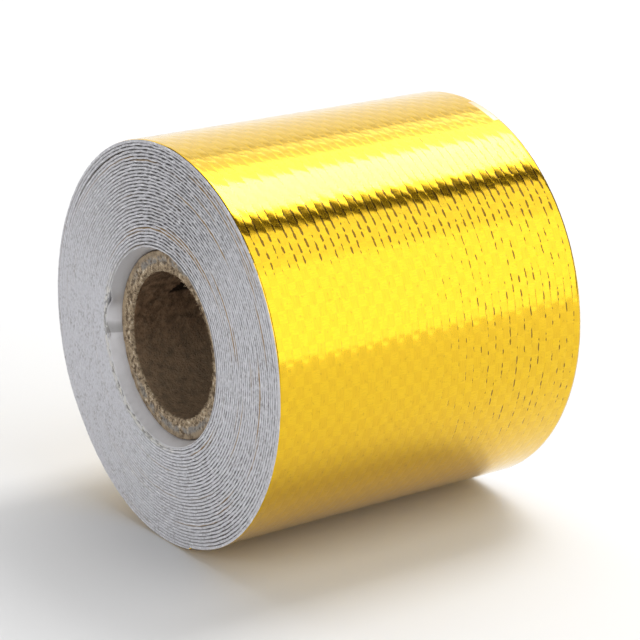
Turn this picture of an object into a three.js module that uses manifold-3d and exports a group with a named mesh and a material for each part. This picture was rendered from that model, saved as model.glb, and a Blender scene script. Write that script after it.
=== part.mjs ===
// Roll of gold-faced heat wrap tape, wound on a paperboard core and lying on its side.
// Millimetres, +Z up. The roll's axis lies along X, and the roll stands on the origin's plane.

import * as THREE from 'three';
import { mergeVertices } from 'three/addons/utils/BufferGeometryUtils.js';
import Module from 'manifold-3d';

const wasm = await Module();
wasm.setup();

// Wound tape: glass cloth faced with gold foil, with its adhesive and its release liner
const TAPE_WIDTH = 50;
const TURN_THICKNESS = 0.455;
const TURN_COUNT = 31;
// The first turns lie loose on one side, so the winding's hole is off the roll's axis
const HOLE_OFFSET_Y = 0.75;
const HOLE_OFFSET_Z = -0.3;
// Where the outer turn ends, under the roll, in degrees in the YZ plane from +Y towards +Z
const TAPE_END_ANGLE = 258;

// Slits between the turns, cut into both ends as rings: one slit for each group of turns
const TURNS_PER_SLIT = 4;
const SLIT_WIDTH = 0.2;
const SLIT_DEPTH = 0.4;

// Innermost turn of the release liner, which stands clear of the core and has one fold
const LINER_THICKNESS = 0.25;
const FOLD_DEPTH = 0.9;
const FOLD_ANGLE = 15;
const FOLD_HALF_WIDTH = 9;

// Paperboard core, shorter than the tape is wide
const CORE_BORE_RADIUS = 10.1;
const CORE_WALL = 2.9;
const CORE_RECESS = 1.5;
// The core is loose in the liner by this much, and rests on this side of it, from +Y towards +Z
const CORE_PLAY = 0.75;
const CORE_REST_ANGLE = 170;

// Gap between pieces that touch
const SEAT_GAP = 0.3;
// How far a cutter reaches past the face that it cuts
const CUT_OVERSHOOT = 1;
const ROUND_SIDES = 64;
const LINER_SIDES = 120;

// Sizes that follow from the ones above, from the core outwards
const CORE_OUTER_RADIUS = CORE_BORE_RADIUS + CORE_WALL;
const CORE_LENGTH = TAPE_WIDTH - 2 * CORE_RECESS;
const CORE_DROP = CORE_PLAY - SEAT_GAP;
const LINER_INNER_RADIUS = CORE_OUTER_RADIUS + CORE_PLAY;
const LINER_OUTER_RADIUS = LINER_INNER_RADIUS + LINER_THICKNESS;
const WINDING_HOLE_RADIUS = LINER_OUTER_RADIUS + SEAT_GAP;
const ROLL_RADIUS = WINDING_HOLE_RADIUS + TURN_COUNT * TURN_THICKNESS;

const FOIL_GOLD = new THREE.MeshStandardMaterial({ color: 0xf0c11c, roughness: 0.28, metalness: 1 });
const LINER_WHITE = new THREE.MeshStandardMaterial({ color: 0xd9d9dc, roughness: 0.35, metalness: 0 });
const CORE_BROWN = new THREE.MeshStandardMaterial({ color: 0x8d7454, roughness: 0.95, metalness: 0 });

// Each piece is modelled around a local Z axis. This turns local X, Y and Z into world Y, Z and X.
const AXIS_ALONG_X = new THREE.Matrix4().makeBasis(
  new THREE.Vector3(0, 1, 0),
  new THREE.Vector3(0, 0, 1),
  new THREE.Vector3(1, 0, 0),
);

function polar(radius, degrees) {
  const angle = THREE.MathUtils.degToRad(degrees);
  return new THREE.Vector2(radius * Math.cos(angle), radius * Math.sin(angle));
}

function solidOf(geometry) {
  const bare = geometry.clone();
  bare.deleteAttribute('normal');
  bare.deleteAttribute('uv');
  const merged = mergeVertices(bare, 1e-4);
  return new wasm.Manifold(new wasm.Mesh({
    numProp: 3,
    vertProperties: merged.attributes.position.array,
    triVerts: new Uint32Array(merged.index.array),
  }));
}

function geometryOf(solid) {
  const mesh = solid.getMesh();
  const geometry = new THREE.BufferGeometry();
  geometry.setAttribute('position', new THREE.BufferAttribute(mesh.vertProperties, mesh.numProp));
  geometry.setIndex(new THREE.BufferAttribute(mesh.triVerts, 1));
  const faceted = geometry.toNonIndexed();
  faceted.computeVertexNormals();
  return faceted;
}

// A profile of [radius, height] pairs turned round local Z and moved sideways by offset.
function turned(profile, offset = new THREE.Vector2()) {
  const points = profile.map(([radius, height]) => new THREE.Vector2(radius, height));
  return new THREE.LatheGeometry(points, ROUND_SIDES)
    .rotateX(Math.PI / 2)
    .translate(offset.x, offset.y, 0);
}

function extrudedAlongAxis(shape, length) {
  return new THREE.ExtrudeGeometry(shape, { depth: length, bevelEnabled: false })
    .translate(0, 0, -length / 2);
}

// The outer turn as a spiral: from its free end it loses one thickness in a full turn.
function outerTurnOutline() {
  const points = [];
  for (let i = 0; i <= ROUND_SIDES; i++) {
    const share = i / ROUND_SIDES;
    points.push(polar(ROLL_RADIUS - TURN_THICKNESS * share, TAPE_END_ANGLE + 360 * share));
  }
  return new THREE.Shape(points);
}

// One V-shaped slit round an end. side is 1 at the +X end and -1 at the other.
function slitCutter(radius, offset, side) {
  const face = side * TAPE_WIDTH / 2;
  const slope = (SLIT_WIDTH / 2) * (CUT_OVERSHOOT / SLIT_DEPTH);
  const mouth = SLIT_WIDTH / 2 + slope;
  const bottom = [radius, -face + side * SLIT_DEPTH];
  const outer = [radius + mouth, -face - side * CUT_OVERSHOOT];
  const inner = [radius - mouth, -face - side * CUT_OVERSHOOT];
  const profile = side > 0 ? [bottom, inner, outer, bottom] : [bottom, outer, inner, bottom];
  return solidOf(turned(profile, offset));
}

// Inner slits are centred on the winding's hole and outer ones on the roll's axis.
function slitCutters() {
  const cutters = [];
  for (let turn = TURNS_PER_SLIT; turn < TURN_COUNT; turn += TURNS_PER_SLIT) {
    const share = turn / TURN_COUNT;
    const radius = WINDING_HOLE_RADIUS + turn * TURN_THICKNESS;
    const offset = new THREE.Vector2(HOLE_OFFSET_Y, HOLE_OFFSET_Z).multiplyScalar(1 - share);
    cutters.push(slitCutter(radius, offset, 1), slitCutter(radius, offset, -1));
  }
  return cutters;
}

function woundTape() {
  const hole = turned([
    [0, -TAPE_WIDTH / 2 - CUT_OVERSHOOT],
    [WINDING_HOLE_RADIUS, -TAPE_WIDTH / 2 - CUT_OVERSHOOT],
    [WINDING_HOLE_RADIUS, TAPE_WIDTH / 2 + CUT_OVERSHOOT],
    [0, TAPE_WIDTH / 2 + CUT_OVERSHOOT],
  ], new THREE.Vector2(HOLE_OFFSET_Y, HOLE_OFFSET_Z));
  let winding = solidOf(extrudedAlongAxis(outerTurnOutline(), TAPE_WIDTH)).subtract(solidOf(hole));
  for (const cutter of slitCutters()) winding = winding.subtract(cutter);
  return geometryOf(winding);
}

// Radius of the liner's wall at an angle: round, but for one fold that bends inwards.
function linerRadius(wallRadius, degrees) {
  const fromFold = THREE.MathUtils.euclideanModulo(degrees - FOLD_ANGLE + 180, 360) - 180;
  const share = THREE.MathUtils.clamp(Math.abs(fromFold) / FOLD_HALF_WIDTH, 0, 1);
  return wallRadius - FOLD_DEPTH * (1 + Math.cos(Math.PI * share)) / 2;
}

function linerOutline(wallRadius) {
  const points = [];
  for (let i = 0; i < LINER_SIDES; i++) {
    const degrees = 360 * i / LINER_SIDES;
    points.push(polar(linerRadius(wallRadius, degrees), degrees));
  }
  return points;
}

function releaseLiner() {
  const ring = new THREE.Shape(linerOutline(LINER_OUTER_RADIUS));
  ring.holes.push(new THREE.Path(linerOutline(LINER_INNER_RADIUS)));
  return extrudedAlongAxis(ring, TAPE_WIDTH).translate(HOLE_OFFSET_Y, HOLE_OFFSET_Z, 0);
}

function paperboardCore() {
  const centre = polar(CORE_DROP, CORE_REST_ANGLE).add(new THREE.Vector2(HOLE_OFFSET_Y, HOLE_OFFSET_Z));
  return turned([
    [CORE_BORE_RADIUS, -CORE_LENGTH / 2],
    [CORE_OUTER_RADIUS, -CORE_LENGTH / 2],
    [CORE_OUTER_RADIUS, CORE_LENGTH / 2],
    [CORE_BORE_RADIUS, CORE_LENGTH / 2],
    [CORE_BORE_RADIUS, -CORE_LENGTH / 2],
  ], centre);
}

function piece(name, geometry, material) {
  const mesh = new THREE.Mesh(geometry.applyMatrix4(AXIS_ALONG_X), material);
  mesh.name = name;
  return mesh;
}

const roll = new THREE.Group();
roll.add(
  piece('wound_tape', woundTape(), FOIL_GOLD),
  piece('release_liner', releaseLiner(), LINER_WHITE),
  piece('paperboard_core', paperboardCore(), CORE_BROWN),
);

// Stand the roll on the floor, with the middle of its box over the origin
const box = new THREE.Box3().setFromObject(roll);
const middle = box.getCenter(new THREE.Vector3());
roll.position.set(-middle.x, -middle.y, -box.min.z);

export default roll;
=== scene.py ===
"""Looks of a roll of gold foil-faced heat wrap tape that lies on its side, on a pale studio floor.

Sizes are in metres. The roll's axis runs along +X, and the end that faces the viewer is at low X.
An angle round the roll is in degrees, from +Y towards +Z. The angle 90 is the top, and 180 faces the viewer.
"""

import logging
import math
from collections.abc import Callable
from dataclasses import dataclass, field
from enum import Enum, IntEnum

import bmesh
import bpy
from mathutils import Euler, Matrix, Vector, noise

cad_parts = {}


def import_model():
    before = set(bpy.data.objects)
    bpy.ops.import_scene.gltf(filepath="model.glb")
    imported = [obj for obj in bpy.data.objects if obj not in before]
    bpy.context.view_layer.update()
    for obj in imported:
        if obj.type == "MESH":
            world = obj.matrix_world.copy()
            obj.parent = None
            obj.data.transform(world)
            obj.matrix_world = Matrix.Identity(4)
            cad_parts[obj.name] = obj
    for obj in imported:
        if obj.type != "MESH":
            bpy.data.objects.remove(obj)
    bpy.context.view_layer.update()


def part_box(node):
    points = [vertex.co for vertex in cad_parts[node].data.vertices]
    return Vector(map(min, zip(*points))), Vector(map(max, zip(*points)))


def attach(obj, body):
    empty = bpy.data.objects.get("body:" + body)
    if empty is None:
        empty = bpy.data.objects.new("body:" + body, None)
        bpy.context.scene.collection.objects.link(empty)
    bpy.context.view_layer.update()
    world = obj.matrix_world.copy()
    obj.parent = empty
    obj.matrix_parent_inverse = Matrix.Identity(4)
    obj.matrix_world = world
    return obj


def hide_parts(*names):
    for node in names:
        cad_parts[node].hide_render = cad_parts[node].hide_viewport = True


MM = 0.001
FULL_TURN = 360.0
LOG = logging.getLogger("heat_wrap_roll")


class Slot(str, Enum):
    """The record's material slots."""

    TAPE = "foil_faced_tape"
    LINER = "liner"
    CORE = "core"


class TapeFace(IntEnum):
    """Which layer of the tape a face shows. The value is its place in the piece's material slots."""

    FOIL = 0
    CUT_EDGE = 1
    LINER = 2


class Wire:
    """One value in a node tree. Python arithmetic on it adds Math nodes."""

    def __init__(self, graph: "Graph", socket: bpy.types.NodeSocket) -> None:
        """Keeps the graph and the output socket that carries the value."""
        self.graph = graph
        self.socket = socket

    def __add__(self, other: "Wire | float") -> "Wire":
        """Sum of the two values."""
        return self.graph.maths("ADD", self, other)

    def __radd__(self, other: float) -> "Wire":
        """Sum with a number on the left."""
        return self.graph.maths("ADD", other, self)

    def __sub__(self, other: "Wire | float") -> "Wire":
        """Difference of the two values."""
        return self.graph.maths("SUBTRACT", self, other)

    def __rsub__(self, other: float) -> "Wire":
        """Difference with a number on the left."""
        return self.graph.maths("SUBTRACT", other, self)

    def __mul__(self, other: "Wire | float") -> "Wire":
        """Product of the two values."""
        return self.graph.maths("MULTIPLY", self, other)

    def __rmul__(self, other: float) -> "Wire":
        """Product with a number on the left."""
        return self.graph.maths("MULTIPLY", other, self)

    def __truediv__(self, other: "Wire | float") -> "Wire":
        """Quotient of the two values."""
        return self.graph.maths("DIVIDE", self, other)

    def __mod__(self, other: "Wire | float") -> "Wire":
        """Remainder, which is never negative."""
        return self.graph.maths("FLOORED_MODULO", self, other)

    def most(self, other: "Wire | float") -> "Wire":
        """The greater of the two values."""
        return self.graph.maths("MAXIMUM", self, other)

    def __abs__(self) -> "Wire":
        """The value without its sign."""
        return self.graph.maths("ABSOLUTE", self)

    def __floor__(self) -> "Wire":
        """The whole number below, through math.floor."""
        return self.graph.maths("FLOOR", self)

    def ease(self, low: float, high: float, start: float = 0.0, end: float = 1.0) -> "Wire":
        """Smooth step from start to end while this value goes from low to high."""
        return self.graph.wire(
            "ShaderNodeMapRange",
            {"interpolation_type": "SMOOTHSTEP"},
            {"Value": self, "From Min": low, "From Max": high, "To Min": start, "To Max": end},
        )


class Graph:
    """Node tree of one material, with short ways to add nodes."""

    def __init__(self, name: str) -> None:
        """Makes the material and empties its tree.

        Args:
            name: The material's name.
        """
        self.material = bpy.data.materials.new(name)
        self.material.use_nodes = True
        self.tree = self.material.node_tree
        self.tree.nodes.clear()

    def feed(self, socket: bpy.types.NodeSocket, value: object) -> None:
        """Links a Wire to an input socket, or sets a plain value on it.

        Args:
            socket: The input socket.
            value: The Wire or the plain value.
        """
        if isinstance(value, Wire):
            self.tree.links.new(value.socket, socket)
        else:
            socket.default_value = value

    def node(self, kind: str, settings: dict | None = None, inputs: dict | None = None) -> bpy.types.Node:
        """Adds a node.

        Args:
            kind: The node's type name.
            settings: Its properties.
            inputs: Its sockets, by name or number, each with a Wire or a plain value.

        Returns:
            The new node.
        """
        node = self.tree.nodes.new(kind)
        for key, value in (settings or {}).items():
            setattr(node, key, value)
        for key, value in (inputs or {}).items():
            self.feed(node.inputs[key], value)
        return node

    def wire(
        self,
        kind: str,
        settings: dict | None = None,
        inputs: dict | None = None,
        output: int = 0,
    ) -> Wire:
        """Adds a node as node() does, and gives the output that has this number."""
        return Wire(self, self.node(kind, settings, inputs).outputs[output])

    def maths(self, operation: str, first: "Wire | float", second: "Wire | float | None" = None) -> Wire:
        """Adds a Math node, with a second value where the operation has one."""
        inputs = {0: first} if second is None else {0: first, 1: second}
        return self.wire("ShaderNodeMath", {"operation": operation}, inputs)

    def uv(self) -> tuple[Wire, Wire, Wire]:
        """The piece's own UV map, as a vector and its two parts.

        Returns:
            The vector, U and V.
        """
        vector = self.wire("ShaderNodeUVMap")
        parts = self.node("ShaderNodeSeparateXYZ", inputs={"Vector": vector})
        return vector, Wire(self, parts.outputs["X"]), Wire(self, parts.outputs["Y"])

    def place(self) -> tuple[Wire, Wire, Wire, Wire]:
        """Object coordinates in millimetres, as a vector and its three parts.

        Returns:
            The vector, X, Y and Z.
        """
        here = self.wire("ShaderNodeTexCoord", output=3)
        vector = self.wire("ShaderNodeVectorMath", {"operation": "SCALE"}, {0: here, "Scale": 1 / MM})
        parts = self.node("ShaderNodeSeparateXYZ", inputs={"Vector": vector})
        return (vector, *(Wire(self, parts.outputs[axis]) for axis in "XYZ"))

    def facing(self, centre: tuple[float, float], angle: float) -> Wire:
        """How nearly a point lies at an angle round an axis along X.

        Args:
            centre: The axis's Y and Z, in millimetres.
            angle: The angle in degrees, from +Y towards +Z.

        Returns:
            The cosine of the angle between the two directions.
        """
        y, z = self.place()[2:]
        turn = math.radians(angle)
        along = (y - centre[0]) * math.cos(turn) + (z - centre[1]) * math.sin(turn)
        return along / self.reach(centre)

    def reach(self, centre: tuple[float, float]) -> Wire:
        """Distance in millimetres from an axis along X that passes through a Y and Z.

        Args:
            centre: The axis's Y and Z, in millimetres.

        Returns:
            The distance.
        """
        y, z = self.place()[2:]
        dy, dz = y - centre[0], z - centre[1]
        return self.maths("SQRT", dy * dy + dz * dz)

    def vector(self, x: "Wire | float", y: "Wire | float", z: "Wire | float" = 0.0) -> Wire:
        """A vector from three values."""
        return self.wire("ShaderNodeCombineXYZ", inputs={"X": x, "Y": y, "Z": z})

    def noise(self, vector: Wire, scale: float, detail: float = 3.0, roughness: float = 0.5) -> Wire:
        """Noise from 0 to 1 at a vector, with scale as the number of grains in one unit of it."""
        inputs = {"Vector": vector, "Scale": scale, "Detail": detail, "Roughness": roughness}
        return self.wire("ShaderNodeTexNoise", inputs=inputs)

    def blend(self, factor: "Wire | float", low: "Wire | tuple", high: "Wire | tuple") -> Wire:
        """Mixes two colours.

        Args:
            factor: Share of the second colour.
            low: First colour.
            high: Second colour.

        Returns:
            The mixed colour.
        """
        settings = {"data_type": "RGBA", "blend_type": "MIX", "clamp_factor": True}
        first, second = (c if isinstance(c, Wire) else (*c, 1.0) for c in (low, high))
        return self.wire("ShaderNodeMix", settings, {0: factor, 6: first, 7: second}, output=2)

    def bump(self, height: Wire, distance: float, normal: Wire | None = None) -> Wire:
        """Turns a height from 0 to 1 into a normal.

        Args:
            height: The height.
            distance: Real height that 1 stands for.
            normal: Normal that the bump adds to.

        Returns:
            The new normal.
        """
        inputs = {"Height": height, "Distance": distance, "Strength": 1.0}
        if normal is not None:
            inputs["Normal"] = normal
        return self.wire("ShaderNodeBump", inputs=inputs)

    def finish(self, **sockets: object) -> bpy.types.Material:
        """Adds the Principled shader and the output.

        Args:
            **sockets: The shader's sockets, with _ for each space in a name.

        Returns:
            The finished material.
        """
        inputs = {key.replace("_", " "): value for key, value in sockets.items()}
        shader = self.wire("ShaderNodeBsdfPrincipled", inputs=inputs)
        self.node("ShaderNodeOutputMaterial", inputs={"Surface": shader})
        return self.material


@dataclass(frozen=True)
class GoldFoil:
    """Gold metallised foil pressed onto plain-woven glass cloth.

    The UV map counts yarns: U across the tape's width, V along its length.

    Attributes:
        axis: Y and Z of the roll's axis, in millimetres.
    """

    axis: tuple[float, float]
    gold: tuple = (0.86, 0.545, 0.014)
    warp_gold: tuple = (0.82, 0.51, 0.013)
    # Dark brown for the fibre streaks and random flecks, and for the painted shade and painted reflection in
    # the grooves between yarns.
    shade_and_dark_tone: tuple = (0.17, 0.085, 0.005)
    bare: tuple = (0.80, 0.56, 0.44)
    roughness: float = 0.11
    sheen: float = 0.35

    def material(self) -> bpy.types.Material:
        """Builds the material.

        Returns:
            The finished material.
        """
        g = Graph("gold_foil")
        yarns, across, along = g.uv()
        x = g.place()[1]
        weft = (math.floor(across) + math.floor(along)) % 2.0
        warp = 1.0 - weft
        wander = (g.noise(yarns, 0.9, 2.0) - 0.5) * 0.8
        side = abs((across + wander * 0.25) % 1.0 - 0.5)
        stagger = math.floor(across + 0.5) % 2.0 * 0.4
        end = abs((along + stagger + wander) % 1.0 - 0.5)
        cells = g.noise(yarns, 0.95, 2.0)
        patch = g.noise(yarns, 0.13, 2.0).ease(0.38, 0.58)
        # Painted reflection and shade: the grooves between yarns are painted dark along the line where the
        # foil reflects the dark space between the lamps (core marks its middle), and more lightly at the far
        # end and in patches.
        core = g.facing(self.axis, 132.5).ease(0.9965, 0.9988)
        gap_reflection_band = g.facing(self.axis, 136.5).ease(0.9780, 0.9965)
        far = x.ease(-12.0, 16.0) * g.facing(self.axis, 160.0).ease(0.45, 0.85)
        painted_gap_reflection = gap_reflection_band * cells.ease(0.36, 0.58, 0.25, 1.15)
        elsewhere = cells.ease(0.42, 0.64) * (far * 0.85).most(patch * 0.30)
        groove_shade_amount = painted_gap_reflection.most(elsewhere)
        taper = end.ease(0.5, 0.24).most(core * 0.8)
        dark = (side + taper * groove_shade_amount * 0.135 - 0.5).ease(0.0, 0.06) * groove_shade_amount.ease(0.0, 0.6)
        fleck = g.noise(yarns, 2.6, 2.0).ease(0.60, 0.74)
        fibres_across = g.noise(g.vector(across * 1.2, along * 16.0), 1.0, 3.0)
        fibres_along = g.noise(g.vector(across * 14.0, along * 0.8), 1.0, 3.0)
        striation = fibres_across * weft + fibres_along * warp
        crinkle = g.noise(yarns, 2.0, 2.0, 0.5)
        colour = g.blend(weft, self.warp_gold, self.gold)
        colour = g.blend(striation.ease(0.6, 0.35) * 0.12, colour, self.shade_and_dark_tone)
        colour = g.blend(fleck * 0.22, colour, self.shade_and_dark_tone)
        # Painted shade and painted reflection: the grooves between yarns are darkened.
        colour = g.blend(dark * 0.90, colour, self.shade_and_dark_tone)
        scuffed = x.ease(23.7, 24.0) * g.facing(self.axis, 104.0).ease(0.9935, 0.9950)
        colour = g.blend(scuffed * 0.8, colour, self.bare)
        normal = g.bump(striation, 0.0012 * MM)
        normal = g.bump(crinkle, 0.004 * MM, normal)
        normal = g.bump(1.0 - dark.most(side.ease(0.36, 0.49) * 0.2), 0.045 * MM, normal)
        rough = striation.ease(0.3, 0.7, self.roughness + 0.03, self.roughness - 0.02)
        return g.finish(
            Base_Color=colour,
            Metallic=1.0,
            Roughness=rough + scuffed * 0.3,
            Coat_Weight=self.sheen,
            Coat_Roughness=0.10,
            Normal=normal,
        )


@dataclass(frozen=True)
class CutCloth:
    """Cut edge of the tape: grey-white ends of glass fibre between a white liner and a line of foil.

    The UV map has U along the tape in millimetres, and V across its thickness from the foil to the liner.

    Attributes:
        axis: Y and Z of the roll's axis, in millimetres.
        hole: Y and Z of the middle of the winding's hole, in millimetres.
        hole_radius: Radius of that hole, in millimetres.
    """

    axis: tuple[float, float]
    hole: tuple[float, float]
    hole_radius: float
    glass: tuple = (0.64, 0.64, 0.68)
    bright: tuple = (0.92, 0.92, 0.94)
    shade: tuple = (0.36, 0.35, 0.36)
    cream: tuple = (0.74, 0.70, 0.60)
    # Near-black for the painted shade in the grooves between turns and in small pits of the frayed edge.
    gap_shade: tuple = (0.09, 0.085, 0.085)
    # Foil colour darkened as in shadow, for the foil's line seen in the grooves: painted shade.
    shaded_foil_line: tuple = (0.36, 0.22, 0.07)

    def material(self) -> bpy.types.Material:
        """Builds the material.

        Returns:
            The finished material.
        """
        g = Graph("cut_cloth")
        _, along, depth = g.uv()
        here = g.place()[0]
        # How clearly the turns' lines show, by angle round the roll: the painted shade in the grooves
        # between turns is strongest at the top, the bottom and the front.
        top = g.facing(self.axis, 82.0).ease(0.25, 0.97)
        bottom = g.facing(self.axis, 248.0).ease(0.35, 0.98) * 0.9
        front = g.facing(self.axis, 175.0).ease(0.30, 0.95) * 0.5
        lines = top.most(bottom).most(front).most(0.08)
        speckle = g.noise(here, 2.2, 3.0, 0.6)
        cloud = g.noise(here, 0.55, 2.0)
        fibre = g.noise(g.vector(along * 0.5, depth * 2.0), 1.7, 3.0, 0.6)
        dashes = g.noise(g.vector(along, depth * 0.5), 0.95, 3.0)
        colour = g.blend(speckle.ease(0.24, 0.60), self.shade, self.glass)
        colour = g.blend(cloud.ease(0.35, 0.6) * 0.6, colour, self.glass)
        # The end face is painted darker towards the top.
        colour = g.blend(top * 0.25, colour, self.shade)
        colour = g.blend(fibre.ease(0.52, 0.66) * (0.30 + 0.6 * lines), colour, self.bright)
        # Painted shade in the grooves between turns, at both sides of each turn, wider at the top and broken
        # into dashes.
        groove_shade = depth.ease(0.18, 0.04).most(depth.ease(0.93, 1.0) * 0.7)
        groove_shade = groove_shade.most(depth.ease(0.36, 0.12) * top * 0.85)
        broken = dashes.ease(0.40, 0.56)
        colour = g.blend(groove_shade * (0.12 + 0.88 * broken) * (0.12 + 0.88 * lines), colour, self.gap_shade)
        inner = g.reach(self.hole).ease(self.hole_radius + 1.0, self.hole_radius + 0.4)
        frayed = inner * g.facing(self.hole, 325.0).ease(0.15, 0.75)
        colour = g.blend(frayed * fibre.ease(0.42, 0.55) * 0.7, colour, self.cream)
        # Painted shade in small pits along the frayed edge by the hole.
        colour = g.blend(frayed * dashes.ease(0.50, 0.60) * 0.65, colour, self.gap_shade)
        arcs = g.noise(g.vector(along, 0.0), 0.03, 2.0).ease(0.56, 0.62)
        # The foil layer's line at the groove's edge is real; its colour is painted as in shadow.
        foil = depth.ease(0.34, 0.16) * arcs * dashes.ease(0.25, 0.45)
        colour = g.blend(foil * 0.75, colour, self.shaded_foil_line)
        return g.finish(
            Base_Color=colour,
            Roughness=0.75,
            Normal=g.bump(speckle + fibre * 0.6, 0.09 * MM),
        )


@dataclass(frozen=True)
class LinerPaper:
    """Glossy white release liner, coated with silicone.

    Attributes:
        hole: Y and Z of the middle of the winding's hole, in millimetres.
    """

    hole: tuple[float, float]
    white: tuple = (0.66, 0.65, 0.67)
    shade: tuple = (0.34, 0.33, 0.33)

    def material(self) -> bpy.types.Material:
        """Builds the material.

        Returns:
            The finished material.
        """
        g = Graph("liner_paper")
        here = g.place()[0]
        fine = g.noise(here, 5.0, 3.0)
        # Painted shade on the liner's wall: it is darker in soft clouds, towards the top and on one side of
        # the crease.
        cloud = g.noise(here, 0.35, 3.0).ease(0.3, 0.7) * 0.25
        upper_shade = g.facing(self.hole, 42.0).ease(0.70, 0.98) * 0.75
        above_crease = g.facing(self.hole, 83.0).ease(-0.005, 0.005)
        crease = g.facing(self.hole, 353.0).ease(0.988, 0.9995) * above_crease
        return g.finish(
            Base_Color=g.blend(cloud.most(upper_shade).most(crease * 0.9), self.white, self.shade),
            Roughness=fine.ease(0.2, 0.8, 0.26, 0.38),
            Normal=g.bump(fine, 0.01 * MM),
        )


@dataclass(frozen=True)
class Tear:
    """Tear in the core's innermost ply: a wedge with one straight side, which widens along the bore.

    Attributes:
        tip: X of its point.
        end: X of its wide end.
        angle: Angle of its straight side.
        slope: How fast it widens.
        depth: Depth of its floor.
        edge: Width of its sloping rim.
    """

    tip: float = -18.0 * MM
    end: float = -13.4 * MM
    angle: float = 23.5
    slope: float = 0.85
    depth: float = 0.6 * MM
    edge: float = 0.25 * MM

    def depth_at(self, x: float, angle: float, bore_radius: float) -> float:
        """Depth at a place on the bore's wall.

        Args:
            x: Place along the tube.
            angle: Angle in radians.
            bore_radius: Radius of the bore.

        Returns:
            The depth, which is 0 outside the tear.
        """
        away = angle - math.radians(self.angle)
        rise = bore_radius * math.sin(away)
        room = min(rise, (x - self.tip) * self.slope - rise, self.end - x)
        if math.cos(away) < 0.5 or room < 0:
            return 0.0
        return self.depth * min(room / self.edge, 1.0)

    def mask(self, g: Graph, axis: tuple[float, float]) -> Wire:
        """Where the tear shows.

        Args:
            g: The board's graph.
            axis: Y and Z of the tube's axis, in millimetres.

        Returns:
            1 in the tear, and 0 elsewhere.
        """
        x, y, z = g.place()[1:]
        turn = math.radians(self.angle)
        end = self.end / MM
        rise = (z - axis[1]) * math.cos(turn) - (y - axis[0]) * math.sin(turn)
        wedge = rise.ease(-0.10, 0.10) * ((x - self.tip / MM) * self.slope - rise).ease(-0.10, 0.15)
        return wedge * x.ease(end, end - 0.4) * g.facing(axis, self.angle).ease(0.5, 0.6)


@dataclass(frozen=True)
class KraftBoard:
    """Brown spiral-wound paperboard: kraft plies with grey recycled plies in the middle of the wall.

    Attributes:
        axis: Y and Z of the tube's axis, in millimetres.
        bore: Radius of the bore, in millimetres.
        outside: Outer radius, in millimetres.
        half_length: Half the tube's length, in millimetres.
        tear: The tear in the bore.
    """

    axis: tuple[float, float]
    bore: float
    outside: float
    half_length: float
    tear: Tear
    kraft: tuple = (0.23, 0.140, 0.078)
    kraft_dark: tuple = (0.075, 0.042, 0.021)
    tan: tuple = (0.40, 0.305, 0.20)
    tan_dark: tuple = (0.12, 0.085, 0.055)
    cream: tuple = (0.66, 0.56, 0.42)
    grey: tuple = (0.25, 0.25, 0.245)
    # Near-black for the painted shade inside the tear.
    shade_and_dark_tone: tuple = (0.012, 0.008, 0.005)

    def material(self) -> bpy.types.Material:
        """Builds the material.

        Returns:
            The finished material.
        """
        g = Graph("kraft_board")
        here, x = g.place()[:2]
        mottle = g.noise(here, 0.8, 4.0, 0.6)
        fibre = g.noise(here, 1.5, 4.0, 0.7)
        speck = g.noise(here, 1.5, 4.0, 0.75)
        board = g.blend(mottle.ease(0.3, 0.7), self.kraft_dark, self.kraft)
        # Painted light: the bore is painted lighter, towards tan, near its bottom, where light comes in
        # through its mouth.
        lower_light = g.facing(self.axis, 275.0).ease(-0.2, 0.9)
        board = g.blend(fibre.ease(0.52, 0.72) * 0.25 + lower_light * 0.38, board, self.tan)
        board = g.blend(fibre.ease(0.42, 0.30) * 0.6, board, self.kraft_dark)
        # Painted shade inside the tear, over its dent in the bore.
        board = g.blend(self.tear.mask(g, self.axis) * 0.85, board, self.shade_and_dark_tone)
        wobble = g.reach(self.axis) + (mottle - 0.5) * 1.2
        inner_ply = wobble.ease(self.bore + 1.45, self.bore + 0.95)
        outer_ply = wobble.ease(self.outside - 1.05, self.outside - 0.55)
        fibres = g.blend(speck.ease(0.40, 0.54), self.tan_dark, self.tan)
        fibres = g.blend(speck.ease(0.56, 0.64), fibres, self.cream)
        grey = abs(g.facing(self.axis, 90.0)).ease(0.45, 0.85) * mottle.ease(0.36, 0.52)
        cut = g.blend(grey * 0.75, fibres, self.grey)
        cut = g.blend(speck.ease(0.46, 0.38) * 0.85, cut, self.tan_dark)
        plies = g.blend(inner_ply, cut, fibres)
        smooth_ply = g.blend(mottle.ease(0.3, 0.6), self.tan_dark, self.tan)
        plies = g.blend(outer_ply * 0.85, plies, smooth_ply)
        on_end = abs(x).ease(self.half_length - 0.45, self.half_length - 0.25)
        return g.finish(
            Base_Color=g.blend(on_end, board, plies),
            Roughness=0.95,
            Specular_IOR_Level=0.2,
            Normal=g.bump(fibre * 0.5 + speck, 0.16 * MM),
        )


@dataclass(frozen=True)
class PlainFinish:
    """One even colour, for the floor, the dark ceiling and the core's loose fibres."""

    name: str
    colour: tuple
    roughness: float = 0.9

    def material(self) -> bpy.types.Material:
        """Builds the material."""
        g = Graph(self.name)
        return g.finish(Base_Color=(*self.colour, 1.0), Roughness=self.roughness)


def degrees_past(angle: float, centre: float) -> float:
    """Degrees from a centre to an angle, from -180 to 180."""
    return (angle - centre + FULL_TURN / 2) % FULL_TURN - FULL_TURN / 2


def pulse(angle: float, centre: float, half_width: float) -> float:
    """Smooth hump on a circle of degrees, of height 1 at the centre and 0 from the half width on."""
    return 0.5 + 0.5 * math.cos(math.pi * min(abs(degrees_past(angle, centre)) / half_width, 1.0))


def wave(a: float, b: float, c: float = 0.0) -> float:
    """Repeatable noise from about -1 to 1 at a point."""
    return noise.noise(Vector((a, b, c)))


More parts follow.
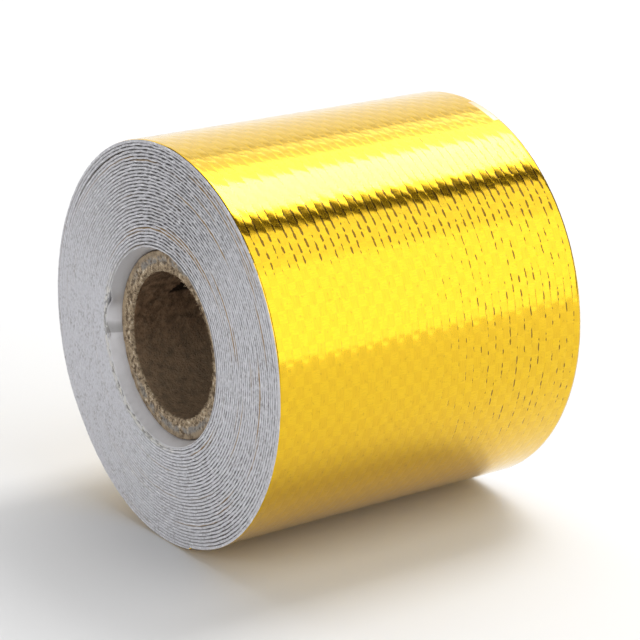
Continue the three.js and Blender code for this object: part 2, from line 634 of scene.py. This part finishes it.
def make_piece(name: str, bm: bmesh.types.BMesh, materials: list[bpy.types.Material]) -> bpy.types.Object:
    """Turns a bmesh into a smooth-shaded object.

    Args:
        name: The object's name.
        bm: The mesh, which is freed.
        materials: The object's materials, in the order of its faces' numbers.

    Returns:
        The new object, at the origin.
    """
    mesh = bpy.data.meshes.new(name)
    bm.to_mesh(mesh)
    bm.free()
    for material in materials:
        mesh.materials.append(material)
    mesh.shade_smooth()
    piece = bpy.data.objects.new(name, mesh)
    bpy.context.scene.collection.objects.link(piece)
    return piece


@dataclass
class Sheet:
    """A flat grid that is rolled into a closed strip or ring.

    Attributes:
        rows: Segments along the strip.
        loop: Segments round its cross-section, which closes on itself.
        place: Where the point at (share along, number in the loop) goes.
        uv: The map's value at the same point.
        face: The layer that the span after a number in the loop shows.
        closed: True where the strip's end meets its start.
    """

    rows: int
    loop: int
    place: Callable[[float, int], Vector]
    uv: Callable[[float, int], tuple[float, float]]
    face: Callable[[int], int]
    closed: bool = False

    def build(self) -> bmesh.types.BMesh:
        """Makes the closed strip.

        Returns:
            The bmesh, with its seams merged, its ends capped and its faces turned outwards.
        """
        bm = bmesh.new()
        layer = bm.loops.layers.uv.new("UVMap")
        bmesh.ops.create_grid(bm, x_segments=self.rows, y_segments=self.loop, size=0.5, calc_uvs=False)
        cells_across = round(1 / self._step(bm))
        spots = {v: (v.co.x + 0.5, round((v.co.y + 0.5) * cells_across)) for v in bm.verts}
        for f in bm.faces:
            f.material_index = self.face(min(spots[v][1] for v in f.verts))
            for corner in f.loops:
                share, number = spots[corner.vert]
                corner[layer].uv = self.uv(share, number)
        for v, (share, number) in spots.items():
            v.co = self.place(share, number % cells_across)
        bmesh.ops.remove_doubles(bm, verts=bm.verts[:], dist=1e-7)
        if not self.closed:
            rim = [e for e in bm.edges if e.is_boundary]
            bmesh.ops.holes_fill(bm, edges=rim, sides=0)
        bmesh.ops.recalc_face_normals(bm, faces=bm.faces[:])
        return bm

    @staticmethod
    def _step(bm: bmesh.types.BMesh) -> float:
        """Distance between two neighbouring grid lines across the strip."""
        values = sorted({round(v.co.y, 7) for v in bm.verts})
        return values[1] - values[0]


@dataclass
class Winding:
    """Shape that all the turns share: a spiral from the tape's free end inwards, round a hole off the axis.

    Attributes:
        width: Width of the tape.
        pitch: Distance from one turn to the next.
        thickness: Thickness of the tape with its liner.
        outer_radius: Outer radius at the tape's free end.
        hole_radius: Radius of the hole inside the innermost turn.
        hole_y: How far the hole is off the roll's axis along Y.
        hole_z: The same along Z.
        free_end: Angle at which the outer turn ends.
        bulge: Height of a soft bulge in the outer turns, over bulge_above and bulge_below degrees.
        bulge_decay: Number of turns in which the bulge and the slit fade.
        slit: Width of an open slit under the turn slit_turn.
        hollow: Depth of a hollow in the innermost turns, beside the liner's crease.
        flare: How far the underside of the near rim bends outwards, within flare_length of the end.
        axis: Middle of the roll's axis.
    """

    width: float = 50 * MM
    pitch: float = 0.455 * MM
    thickness: float = 0.425 * MM
    outer_radius: float = 28.405 * MM
    hole_radius: float = 14.02 * MM
    hole_y: float = 0.75 * MM
    hole_z: float = -0.3 * MM
    free_end: float = 258.0
    bulge: float = 0.30 * MM
    bulge_angle: float = 338.0
    bulge_above: float = 60.0
    bulge_below: float = 18.0
    bulge_decay: float = 9.0
    slit: float = 0.34 * MM
    slit_angle: float = 50.0
    slit_half_width: float = 28.0
    slit_turn: float = 2.9
    hollow: float = 0.40 * MM
    hollow_angle: float = 5.0
    hollow_half_width: float = 17.0
    hollow_decay: float = 2.5
    flare: float = 0.28 * MM
    flare_angle: float = 238.0
    flare_half_width: float = 30.0
    flare_decay: float = 4.0
    flare_length: float = 4.0 * MM
    rough_angle: float = 310.0
    rough_half_width: float = 60.0
    axis: Vector = field(default_factory=Vector)

    def fit_to_frame(self) -> None:
        """Puts the roll's axis where the tape's solid has it."""
        low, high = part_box("wound_tape")
        side_difference = self.radius_at(self.share_at(0.0)) - self.radius_at(self.share_at(180.0))
        y = (low.y + high.y) / 2 - side_difference / 2
        z = high.z - self.radius_at(self.share_at(90.0))
        self.axis = Vector(((low.x + high.x) / 2, y, z))

    @property
    def turns(self) -> float:
        """Number of turns from the free end to the hole."""
        return (self.outer_radius - self.hole_radius) / self.pitch

    @property
    def near(self) -> float:
        """X of the end that faces the viewer."""
        return self.axis.x - self.width / 2

    @property
    def far(self) -> float:
        """X of the other end."""
        return self.axis.x + self.width / 2

    def share_at(self, angle: float) -> float:
        """Turns from the free end to an angle within the outer turn."""
        return ((angle - self.free_end) % FULL_TURN) / FULL_TURN

    def radius_at(self, turn: float) -> float:
        """Outer radius of the spiral after so many turns from the free end."""
        return self.outer_radius - self.pitch * turn

    def angle_at(self, turn: float) -> float:
        """Angle in degrees after so many turns from the free end."""
        return self.free_end + FULL_TURN * turn

    def swell(self, turn: float, x: float) -> float:
        """How far the winding departs from an even spiral.

        Args:
            turn: Turns from the free end.
            x: Place along the roll's axis.

        Returns:
            The rise: a soft bulge, a slit under the third turn, a hollow beside the liner's crease and a
            flare of the near rim's underside.
        """
        angle = self.angle_at(turn)
        outer = math.exp(-turn / self.bulge_decay)
        reach = self.bulge_above if degrees_past(angle, self.bulge_angle) > 0 else self.bulge_below
        bulge = self.bulge * pulse(angle, self.bulge_angle, reach)
        under_slit = min(max(turn - self.slit_turn, 0.0) * 5.0, 1.0)
        slit = self.slit * pulse(angle, self.slit_angle, self.slit_half_width) * under_slit
        near_edge = max(1 - (x - self.near) / self.flare_length, 0.0)
        flare = self.flare * near_edge**2 * pulse(angle, self.flare_angle, self.flare_half_width)
        flare *= math.exp(-turn / self.flare_decay)
        hollow = self.hollow * pulse(angle, self.hollow_angle, self.hollow_half_width)
        hollow *= math.exp((turn - self.turns) / self.hollow_decay)
        return (bulge - slit) * outer + hollow + flare

    def roughness_at(self, angle: float) -> float:
        """How ragged the edges beside the hole are at an angle, from 0 to 1."""
        return pulse(angle, self.rough_angle, self.rough_half_width)

    def line_strength(self, turn: float) -> float:
        """How clearly a turn stands apart from the next on the end faces, from 0 to 1.

        Args:
            turn: Turns from the free end.

        Returns:
            1 where the lines are clearest.
        """
        angle = self.angle_at(turn)
        top = pulse(angle, 88.0, 80.0)
        bottom = 0.8 * pulse(angle, 250.0, 70.0)
        front = 0.6 * pulse(angle, 170.0, 90.0)
        return min(0.18 + 0.82 * max(top, bottom, front), 1.0)

    def point(self, turn: float, depth: float, x: float) -> Vector:
        """A point in the winding.

        Args:
            turn: Turns from the free end.
            depth: How far below the spiral's outer side.
            x: Place along the roll's axis.

        Returns:
            The point in the frame.
        """
        angle = math.radians(self.angle_at(turn))
        radius = self.radius_at(turn) - depth + self.swell(turn, x)
        share = turn / self.turns
        y = self.axis.y + self.hole_y * share + radius * math.cos(angle)
        z = self.axis.z + self.hole_z * share + radius * math.sin(angle)
        return Vector((x, y, z))


@dataclass
class OuterTurn:
    """The turn that shows: foil over cloth, with the weave in relief."""

    winding: Winding
    columns: int = 40
    rows: int = 106
    steps_across: int = 4
    steps_along: int = 5
    weft_height: float = 0.010 * MM
    weft_lean: float = 0.010 * MM
    warp_lean: float = 0.004 * MM
    warp_height: float = 0.004 * MM
    straightness: float = 0.003 * MM
    tilt: float = 0.011 * MM
    gap_depth: float = 0.016 * MM
    sway: float = 0.012 * MM
    edge_round: float = 0.05 * MM
    end_press: float = 0.65
    end_length: float = 5.0 * MM
    edge_scale: float = 0.49

    def relief(self, column: float, row: float) -> float:
        """Height of the woven surface.

        Args:
            column: Place across the tape, in yarns.
            row: Place along the tape, in yarns.

        Returns:
            Height above the bottom of the gaps between yarns.
        """
        i, j = math.floor(column + 1e-6), math.floor(row + 1e-6)
        du, dv = 2 * (column - i) - 1, 2 * (row - j) - 1
        change = 1.0 + 0.5 * wave(i * 0.77, j * 0.77, 3.0)
        lean = self.tilt * wave(i * 1.31, j * 1.17, 8.0)
        if (i + j) % 2:
            cell = self.weft_height * (1 - dv * dv) + (self.weft_lean + lean) * dv * (1 - du**6)
        else:
            cell = self.warp_height * (1 - du * du) - self.straightness * (1 - dv * dv)
            cell += (lean - self.warp_lean) * dv * (1 - du**6)
        pit = 0.0
        if abs(du) > 0.99:
            uneven = 0.6 + 0.6 * wave(column, row * 1.3, 9.0)
            pit = self.gap_depth * max(1 - (dv / 0.75) ** 2, 0.0) * uneven
        return cell * change - pit + self.sway * wave(column * 0.13, row * 0.16, 5.0)

    def _section(self) -> list[tuple[float, float, TapeFace]]:
        """Outline of the tape: place across in yarns, depth and layer of the span after, for each point.

        Returns:
            The points, across the foil first and back along the liner.
        """
        count = self.columns * self.steps_across
        thick = self.winding.thickness
        points = [(k / self.steps_across, 0.0, TapeFace.FOIL) for k in range(count)]
        width = float(self.columns)
        points += [
            (width, 0.0, TapeFace.CUT_EDGE),
            (width, thick * 0.35, TapeFace.CUT_EDGE),
            (width, thick * 0.7, TapeFace.CUT_EDGE),
            (width, thick, TapeFace.LINER),
            (width * 0.5, thick, TapeFace.LINER),
            (0.0, thick, TapeFace.CUT_EDGE),
            (0.0, thick * 0.7, TapeFace.CUT_EDGE),
            (0.0, thick * 0.35, TapeFace.CUT_EDGE),
        ]
        return points

    def build(self, materials: list[bpy.types.Material]) -> bpy.types.Object:
        """Makes the outer turn.

        Args:
            materials: Foil, cut edge and liner.

        Returns:
            The piece.
        """
        w = self.winding
        section = self._section()
        count = len(section)

        def place(share: float, number: int) -> Vector:
            """Where a point of the tape's outline goes at a share of the turn.

            Args:
                share: Share of the way along.
                number: Number of the point in the outline.

            Returns:
                The point in the frame.
            """
            column, depth, _ = section[number]
            row = share * self.rows
            turn = share * (1 - 0.02 / FULL_TURN)
            arc = turn * 2 * math.pi * w.outer_radius
            squash = 1 - self.end_press * math.exp(-arc / self.end_length)
            inward = 1 - 2 * column / self.columns
            x = w.near + w.width * column / self.columns
            on_edge = column in (0.0, float(self.columns))
            if on_edge:
                ragged = 0.03 * wave(row * 0.9, column, 1.0) + 0.02 * wave(row * 4.1, column, 2.0)
                x += math.copysign(0.04 + abs(ragged), inward) * MM
            if depth == 0.0:
                depth = -self.relief(column, row)
                if on_edge:
                    depth += self.edge_round
                    x += math.copysign(self.edge_round * 0.5, inward)
            depth = w.thickness - (w.thickness - depth) * squash
            return w.point(turn, depth + self.weft_height, x)

        def uv(share: float, number: int) -> tuple[float, float]:
            """Yarns on the foil, and edge_scale millimetres a degree on the cut edges.

            Args:
                share: Share of the way along.
                number: Number of the point in the outline.

            Returns:
                U and V.
            """
            column, depth, _ = section[number % count]
            if number < self.columns * self.steps_across + 1:
                return column, share * self.rows
            return share * FULL_TURN * self.edge_scale, 0.35 + 0.3 * depth / w.thickness

        sheet = Sheet(
            rows=self.rows * self.steps_along,
            loop=count,
            place=place,
            uv=uv,
            face=lambda number: int(section[number][2]),
        )
        return make_piece("outer_turn", sheet.build(), materials)


@dataclass
class WoundTurns:
    """All the turns under the outer one, as one long strip whose cut edges make the end faces."""

    winding: Winding
    step: float = 0.6 * MM
    crown: float = 0.02 * MM
    groove: float = 0.05 * MM
    groove_reach: float = 0.40 * MM
    squeeze: float = 0.24
    drift: float = 0.13 * MM
    fray: float = 0.12 * MM
    ripple: float = 0.065 * MM
    weft_pitch: float = 1.66 * MM

    def _length(self, turn: float) -> float:
        """Length of tape from the outer turn's start to a turn.

        Args:
            turn: Turns from the free end.

        Returns:
            The length.
        """
        w = self.winding
        mean = (w.radius_at(1.0) + w.radius_at(turn)) / 2
        return 2 * math.pi * mean * (turn - 1.0)

    def _turn_at(self, share: float) -> float:
        """Turn at a share of the strip's length, so that its segments are equally long.

        Args:
            share: Share of the strip's length.

        Returns:
            Turns from the free end.
        """
        w = self.winding
        total = self._length(w.turns)
        outer = w.radius_at(1.0)
        remaining = outer * outer - share * total * w.pitch / math.pi
        return 1.0 + (outer - math.sqrt(remaining)) / w.pitch

    def _section(self) -> list[tuple[float, float, float, TapeFace]]:
        """Outline of the tape: (end, distance from that end, depth, layer) for each point.

        Returns:
            The points, where end is -1 at the near end and 1 at the far one.
        """
        t = self.winding.thickness
        near = [
            (self.groove_reach, 0.0, TapeFace.CUT_EDGE),
            (self.groove, 0.0, TapeFace.CUT_EDGE),
            (0.0, 0.2 * t, TapeFace.CUT_EDGE),
            (-self.crown, 0.5 * t, TapeFace.CUT_EDGE),
            (0.0, 0.8 * t, TapeFace.CUT_EDGE),
            (self.groove, t, TapeFace.LINER),
            (self.groove_reach, t, TapeFace.LINER),
        ]
        far = [
            (self.groove_reach, t, TapeFace.LINER),
            (self.groove, t, TapeFace.CUT_EDGE),
            (-self.crown, 0.5 * t, TapeFace.CUT_EDGE),
            (self.groove, 0.0, TapeFace.CUT_EDGE),
            (self.groove_reach, 0.0, TapeFace.FOIL),
        ]
        return [(-1.0, *p) for p in near] + [(1.0, *p) for p in far]

    def _edge_offset(self, turn: float, length: float, end: float) -> float:
        """How far a turn's cut edge lies inside the end face at a place along the tape.

        Args:
            turn: Turns from the free end.
            length: Length of tape up to the place.
            end: -1 at the near end and 1 at the far one.

        Returns:
            The distance.
        """
        whole = math.floor(turn)
        low = wave(whole * 1.7, length / (14 * MM), end)
        fine = wave(turn * 3.1, length / (0.9 * MM), end + 4.0)
        weft = 0.3 * math.cos(2 * math.pi * length / self.weft_pitch)
        return self.drift * (0.5 + 0.5 * low) + self.fray * (0.5 + 0.5 * fine + weft * 0.5)

    def build(self, materials: list[bpy.types.Material]) -> bpy.types.Object:
        """Makes the inner turns.

        Args:
            materials: Foil, cut edge and liner.

        Returns:
            The piece.
        """
        w = self.winding
        section = self._section()
        count = len(section)
        rows = round(self._length(w.turns) / self.step)

        def place(share: float, number: int) -> Vector:
            """Where a point of the tape's outline goes at a share of the strip.

            Args:
                share: Share of the way along.
                number: Number of the point in the outline.

            Returns:
                The point in the frame.
            """
            end, inside, depth, _ = section[number]
            turn = self._turn_at(share)
            length = self._length(turn)
            x = w.near if end < 0 else w.far
            shift = inside
            if inside < self.groove_reach:
                strength = w.line_strength(turn)
                shift += self._edge_offset(turn, length, end) * (0.35 + 0.65 * strength)
                uneven = max(0.7 + 1.1 * wave(length / (1.3 * MM), turn * 0.7, 2.0), 0.0)
                depth += (0.5 * w.thickness - depth) * self.squeeze * strength * uneven
                sine = math.sin(math.pi * length / self.weft_pitch + 2.3 * math.floor(turn))
                depth += self.ripple * strength * (sine + wave(length / (0.8 * MM), turn, 6.0)) * 0.6
            loose = max(turn - w.turns + 2.5, 0.0) / 2.5
            angle = w.angle_at(turn)
            if loose > 0 and inside < self.groove_reach:
                rough = w.roughness_at(angle)
                depth += loose * rough * 0.12 * MM * wave(length / (1.3 * MM), turn, 8.0)
            return w.point(turn, depth, x - end * (shift + self.crown))

        def uv(share: float, number: int) -> tuple[float, float]:
            """Length of tape in millimetres, and share of its thickness."""
            turn = self._turn_at(share)
            return self._length(turn) / MM, section[number % count][2] / w.thickness

        sheet = Sheet(
            rows=rows,
            loop=count,
            place=place,
            uv=uv,
            face=lambda number: int(section[number][3]),
        )
        return make_piece("wound_turns", sheet.build(), materials)


@dataclass
class LinerTurn:
    """Innermost turn of the liner, which has sprung off the tape in a fold and creased beside it."""

    winding: Winding
    core: "CoreTube"
    thickness: float = 0.12 * MM
    around: int = 540
    along: int = 30
    seat_gap: float = 0.03 * MM
    core_gap: float = 0.06 * MM
    slope_length: float = 1.9 * MM
    fold_depth: float = 0.95 * MM
    fold_angle: float = 16.0
    fold_half_width: float = 9.0
    crease_height: float = 0.65 * MM
    crease_angle: float = 352.0
    crease_above: float = 15.0
    crease_below: float = 3.5
    edge_wave: float = 0.30 * MM

    def core_radius(self, angle: float) -> float:
        """Distance from the hole's centre to the core's outer side at an angle in degrees.

        Args:
            angle: The angle.

        Returns:
            The distance.
        """
        w = self.winding
        offset = self.core.centre - w.axis - Vector((0.0, w.hole_y, w.hole_z))
        turn = math.radians(angle)
        along = offset.y * math.cos(turn) + offset.z * math.sin(turn)
        across = offset.z * math.cos(turn) - offset.y * math.sin(turn)
        return along + math.sqrt(self.core.outer_radius**2 - across**2)

    def wall_radius(self, angle: float, inside: float) -> float:
        """Radius of the liner's inner wall from the hole's centre.

        Args:
            angle: Angle in degrees.
            inside: Distance from the nearer end.

        Returns:
            The radius, which shrinks from the tape's edge to the core's outer side.
        """
        near = max(1 - inside / self.slope_length, 0.0)
        rim = self.winding.hole_radius - self.seat_gap - self.thickness
        rim -= self.fold_depth * pulse(angle, self.fold_angle, self.fold_half_width)
        away = degrees_past(angle, self.crease_angle)
        reach = self.crease_above if away > 0 else self.crease_below
        rim += self.crease_height * max(1 - abs(away) / reach, 0.0)
        rough = self.winding.roughness_at(angle)
        edge = math.exp(-inside / (0.5 * MM))
        rim -= self.edge_wave * edge * rough * (0.5 + 0.9 * wave(angle / 2.6, 4.0))
        rim -= 0.08 * MM * pulse(angle, 320.0, 80.0) * (1 + wave(angle / 15.0, 6.0))
        inner = min(self.core_radius(angle) + self.core_gap, rim)
        return inner + (rim - inner) * near**1.3

    def build(self, materials: list[bpy.types.Material]) -> bpy.types.Object:
        """Makes the liner's turn.

        Args:
            materials: Foil, cut edge and liner, as on the tape.

        Returns:
            The piece.
        """
        w = self.winding
        centre = w.axis + Vector((0.0, w.hole_y, w.hole_z))
        walls = self.along + 1
        count = 2 * walls

        def spot(number: int) -> tuple[float, float]:
            """Distance from the near end, and height over the inner wall.

            Args:
                number: Number of the point in the outline.

            Returns:
                The distance and the height.
            """
            over = 0.0 if number < walls else self.thickness
            share = (number if number < walls else count - 1 - number) / self.along
            return w.width * (share - math.sin(2 * math.pi * share) * 0.155), over

        def place(share: float, number: int) -> Vector:
            """Where a point of the liner's outline goes at a share of the turn.

            Args:
                share: Share of the way along.
                number: Number of the point in the outline.

            Returns:
                The point in the frame.
            """
            angle = FULL_TURN * share % FULL_TURN
            inside, over = spot(number)
            radius = self.wall_radius(angle, min(inside, w.width - inside)) + over
            ragged = 0.05 * MM * wave(angle / 1.7, 0.0, 7.0) + 0.05 * MM
            x = w.near + inside
            x += ragged if inside == 0.0 else 0.0
            x -= 0.05 * MM if inside >= w.width else 0.0
            turn = math.radians(angle)
            return Vector((x, centre.y + radius * math.cos(turn), centre.z + radius * math.sin(turn)))

        sheet = Sheet(
            rows=self.around,
            loop=count,
            place=place,
            uv=lambda share, number: (share * FULL_TURN / 4.0, 0.93),
            face=lambda number: int(TapeFace.LINER),
            closed=True,
        )
        return make_piece("liner_turn", sheet.build(), materials)


@dataclass
class CoreTube:
    """The paperboard tube, loose in the winding, with fuzzy cut ends."""

    winding: Winding
    bore_radius: float = 10.15 * MM
    outer_radius: float = 13.05 * MM
    recess: float = 1.5 * MM
    rest_angle: float = 170.0
    play: float = 0.56 * MM
    steps_around: int = 360
    steps_wall: int = 12
    steps_bore: int = 94
    corner: float = 0.13 * MM
    burr: float = 0.15 * MM
    fibre_count: int = 700
    fibre_turn: float = 0.6180339887
    tear: Tear = Tear()

    @property
    def centre(self) -> Vector:
        """Centre of the tube.

        Returns:
            The point in the frame.
        """
        w = self.winding
        angle = math.radians(self.rest_angle)
        offset = Vector((0.0, math.cos(angle), math.sin(angle))) * self.play
        return w.axis + Vector((0.0, w.hole_y, w.hole_z)) + offset

    @property
    def half_length(self) -> float:
        """Half the tube's length."""
        return self.winding.width / 2 - self.recess

    def _profile(self) -> list[Vector]:
        """Outline of the wall in the XZ plane over the tube's axis, from the bore's near corner round.

        Returns:
            The points, without the first one again at the end.
        """
        inner, outer, half = self.bore_radius, self.outer_radius, self.half_length
        wall = [inner + (outer - inner) * k / self.steps_wall for k in range(self.steps_wall + 1)]
        bore = [half - 2 * half * k / self.steps_bore for k in range(1, self.steps_bore)]
        points = [Vector((-half, 0.0, radius)) for radius in wall]
        points += [Vector((-half / 3, 0.0, outer)), Vector((half / 3, 0.0, outer))]
        points += [Vector((half, 0.0, radius)) for radius in reversed(wall)]
        points += [Vector((x, 0.0, inner)) for x in bore]
        return points

    def _roughen(self, bm: bmesh.types.BMesh) -> None:
        """Moves the tube's points: ragged cut ends, rounded corners and a slightly uneven bore.

        Args:
            bm: The tube's mesh, centred on the origin.
        """
        half = self.half_length
        for v in bm.verts:
            angle = math.atan2(v.co.z, v.co.y)
            radius = math.hypot(v.co.y, v.co.z)
            share = (radius - self.bore_radius) / (self.outer_radius - self.bore_radius)
            ring = Vector((math.cos(angle), math.sin(angle)))
            if abs(v.co.x) > half - 1e-6:
                side = math.copysign(1.0, v.co.x)
                rough = wave(ring.x * 14, ring.y * 14, radius / MM * 1.5 + side)
                fine = wave(ring.x * 55, ring.y * 55, radius / MM * 4 + side)
                ply = 0.5 * wave(ring.x * 3, ring.y * 3, round(share * 5) * 2.7)
                v.co.x -= side * self.burr * (0.6 - 0.5 * rough - 0.5 * fine - ply)
                if share < 0.01 or share > 0.99:
                    v.co.x -= side * self.corner * 0.6
                    inwards = 1.0 if share > 0.5 else -1.0
                    radius -= inwards * (self.corner * 0.5 + self.burr * 0.7 * fine)
            elif share < 0.01:
                radius += 0.05 * MM * wave(ring.x * 4, ring.y * 4, v.co.x / (6 * MM))
                radius += self.tear.depth_at(v.co.x, angle, self.bore_radius)
            v.co.y, v.co.z = radius * ring.x, radius * ring.y

    def build(self, material: bpy.types.Material) -> bpy.types.Object:
        """Makes the tube.

        Args:
            material: The board's material.

        Returns:
            The piece.
        """
        bm = bmesh.new()
        verts = [bm.verts.new(p) for p in self._profile()]
        edges = [bm.edges.new((a, b)) for a, b in zip(verts, verts[1:] + verts[:1])]
        bmesh.ops.spin(
            bm,
            geom=verts + edges,
            cent=(0.0, 0.0, 0.0),
            axis=(1.0, 0.0, 0.0),
            angle=2 * math.pi,
            steps=self.steps_around,
            use_merge=True,
        )
        bmesh.ops.remove_doubles(bm, verts=bm.verts[:], dist=1e-7)
        self._roughen(bm)
        bmesh.ops.translate(bm, vec=self.centre, verts=bm.verts[:])
        bmesh.ops.recalc_face_normals(bm, faces=bm.faces[:])
        return make_piece("core_tube", bm, [material])

    def build_fuzz(self, material: bpy.types.Material) -> bpy.types.Object:
        """Makes the loose fibres round the mouth of the bore.

        Args:
            material: The fibres' material.

        Returns:
            The piece, one mesh of many thin cones.
        """
        bm = bmesh.new()
        for k in range(self.fibre_count):
            side = -1.0 if k % 3 else 1.0
            angle = 2 * math.pi * (k * self.fibre_turn % 1.0)
            spread = noise.cell(Vector((k * 1.37, 2.0, 5.0)))
            lean = noise.cell(Vector((k * 2.11, 7.0, 1.0)))
            length = (0.20 + 0.40 * noise.cell(Vector((k * 0.91, 3.0, 9.0)))) * MM
            radius = self.bore_radius + (0.02 + 0.5 * spread * spread) * MM
            x = side * (self.half_length - 0.06 * MM)
            root = Vector((x, radius * math.cos(angle), radius * math.sin(angle)))
            turn = Euler((angle, side * math.radians(60 + 50 * lean), math.radians(120 * spread - 60)))
            place = Matrix.Translation(self.centre + root) @ turn.to_matrix().to_4x4()
            place = place @ Matrix.Translation((0.0, 0.0, length * 0.3))
            bmesh.ops.create_cone(
                bm,
                cap_ends=True,
                segments=4,
                radius1=0.045 * MM,
                radius2=0.018 * MM,
                depth=length,
                matrix=place,
            )
        return make_piece("core_fibres", bm, [material])


@dataclass
class Softbox:
    """A flat studio light of one even brightness."""

    name: str
    centre: tuple[float, float, float]
    size: tuple[float, float]
    aim: tuple[float, float, float]
    radiance: float

    def build(self) -> bpy.types.Object:
        """Makes the light and turns it to its aim.

        Returns:
            The light.
        """
        data = bpy.data.lights.new(self.name, "AREA")
        data.shape = "RECTANGLE"
        data.size, data.size_y = self.size
        data.energy = self.radiance * math.pi * self.size[0] * self.size[1]
        light = bpy.data.objects.new(self.name, data)
        light.location = self.centre
        direction = Vector(self.aim) - Vector(self.centre)
        light.rotation_mode = "QUATERNION"
        light.rotation_quaternion = direction.to_track_quat("-Z", "Y")
        light.visible_camera = False
        bpy.context.scene.collection.objects.link(light)
        return light


@dataclass
class Studio:
    """Pale floor, soft lights and the camera."""

    winding: Winding
    camera_azimuth: float = -31.58
    camera_elevation: float = 18.57
    camera_distance: float = 339.3 * MM
    aim_azimuth: float = -35.366
    aim_elevation: float = 17.999
    lens: float = 141.34
    sensor: float = 36.0
    room: float = 0.30
    floor_size: float = 6.0
    ceiling_size: tuple[float, float] = (2.4, 1.5)
    ceiling_centre: tuple[float, float, float] = (0.45, 0.10, 0.80)

    @staticmethod
    def _back(azimuth: float, elevation: float) -> Vector:
        """Unit vector from the object to a viewer at these angles."""
        a, e = math.radians(azimuth), math.radians(elevation)
        return Vector((math.sin(a) * math.cos(e), -math.cos(a) * math.cos(e), math.sin(e)))

    def camera(self) -> None:
        """Makes the camera at the photograph's viewing angle."""
        data = bpy.data.cameras.new("camera")
        data.lens, data.sensor_width = self.lens, self.sensor
        data.clip_start, data.clip_end = 0.01, 50.0
        camera = bpy.data.objects.new("camera", data)
        near_centre = Vector((self.winding.near, self.winding.axis.y, self.winding.axis.z))
        back = self._back(self.camera_azimuth, self.camera_elevation)
        camera.location = near_centre + back * self.camera_distance
        camera.rotation_mode = "QUATERNION"
        aim = -self._back(self.aim_azimuth, self.aim_elevation)
        camera.rotation_quaternion = aim.to_track_quat("-Z", "Y")
        bpy.context.scene.collection.objects.link(camera)
        bpy.context.scene.camera = camera

    def floor(self) -> None:
        """Makes the floor that the roll lies on."""
        bm = bmesh.new()
        bmesh.ops.create_grid(bm, x_segments=1, y_segments=1, size=self.floor_size / 2)
        floor = make_piece("floor", bm, [PlainFinish("pale_floor", (0.70, 0.70, 0.70)).material()])

    def dark_ceiling(self) -> None:
        """Makes the dark ceiling over the lights, which shows only in reflections."""
        bm = bmesh.new()
        bmesh.ops.create_grid(bm, x_segments=1, y_segments=1, size=0.5)
        bmesh.ops.scale(bm, vec=(*self.ceiling_size, 1.0), verts=bm.verts[:])
        bmesh.ops.translate(bm, vec=self.ceiling_centre, verts=bm.verts[:])
        ceiling = make_piece("ceiling", bm, [PlainFinish("dark_cloth", (0.055, 0.028, 0.018)).material()])
        for visible in ("camera", "diffuse", "shadow", "transmission"):
            setattr(ceiling, f"visible_{visible}", False)

    def lights(self) -> None:
        """Makes the even room light and the soft boxes."""
        world = bpy.data.worlds.new("room")
        world.use_nodes = True
        background = world.node_tree.nodes["Background"]
        background.inputs["Color"].default_value = (1.0, 1.0, 1.0, 1.0)
        background.inputs["Strength"].default_value = self.room
        bpy.context.scene.world = world
        Softbox("key", (0.36, 0.060, 0.649), (0.34, 0.24), (0.36, 0.060, 0.0), 8.8).build()
        Softbox("key_edge", (0.40, 0.125, 0.652), (0.76, 0.43), (0.40, 0.125, 0.0), 1.2).build()
        Softbox("key_spill", (0.40, 0.2145, 0.655), (1.0, 0.671), (0.40, 0.2145, 0.0), 1.2).build()
        Softbox("back", (0.40, 0.775, 0.328), (1.6, 0.84), (0.0, 0.0, 0.0), 0.80).build()
        Softbox("front", (0.37, -0.5206, 0.3271), (0.84, 0.8902), (0.37, 0.1654, -0.3119), 1.42).build()
        Softbox("end_fill", (-0.70, -0.25, 0.30), (0.6, 0.6), (0.0, 0.0, 0.03), 1.9).build()

    def build(self) -> None:
        """Makes everything round the roll."""
        bpy.context.scene.view_settings.view_transform = "Standard"
        self.floor()
        self.lights()
        self.dark_ceiling()
        self.camera()


class Roll:
    """The whole roll: tape, liner and core."""

    def __init__(self) -> None:
        """Fits the winding to the frame."""
        self.winding = Winding()
        self.winding.fit_to_frame()

    def add(self, piece: bpy.types.Object, slot: Slot, *nodes: str) -> None:
        """Puts a piece on the frame.

        Args:
            piece: The piece.
            slot: The record's material slot for it. Not used.
            *nodes: The nodes that it stands for.
        """
        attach(piece, "root")
        if nodes:
            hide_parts(*nodes)
        LOG.info("%s has %d faces", piece.name, len(piece.data.polygons))

    def build(self) -> None:
        """Makes and dresses all the pieces."""
        axis = (self.winding.axis.y / MM, self.winding.axis.z / MM)
        hole = (axis[0] + self.winding.hole_y / MM, axis[1] + self.winding.hole_z / MM)
        cloth = CutCloth(axis, hole, self.winding.hole_radius / MM)
        layers = [finish.material() for finish in (GoldFoil(axis), cloth, LinerPaper(hole))]
        self.add(OuterTurn(self.winding).build(layers), Slot.TAPE, "wound_tape")
        self.add(WoundTurns(self.winding).build(layers), Slot.TAPE, "wound_tape")
        core = CoreTube(self.winding)
        self.add(LinerTurn(self.winding, core).build(layers), Slot.LINER, "release_liner")
        board = KraftBoard(
            axis=(core.centre.y / MM, core.centre.z / MM),
            bore=core.bore_radius / MM,
            outside=core.outer_radius / MM,
            half_length=core.half_length / MM,
            tear=core.tear,
        )
        self.add(core.build(board.material()), Slot.CORE, "paperboard_core")
        fuzz = PlainFinish("board_fibre", (0.46, 0.35, 0.23), 0.9).material()
        self.add(core.build_fuzz(fuzz), Slot.CORE)


def main() -> None:
    """Builds the roll and its studio."""
    logging.basicConfig(level=logging.INFO, format="%(message)s")
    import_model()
    roll = Roll()
    roll.build()
    Studio(roll.winding).build()


if __name__ == "__main__":
    main()
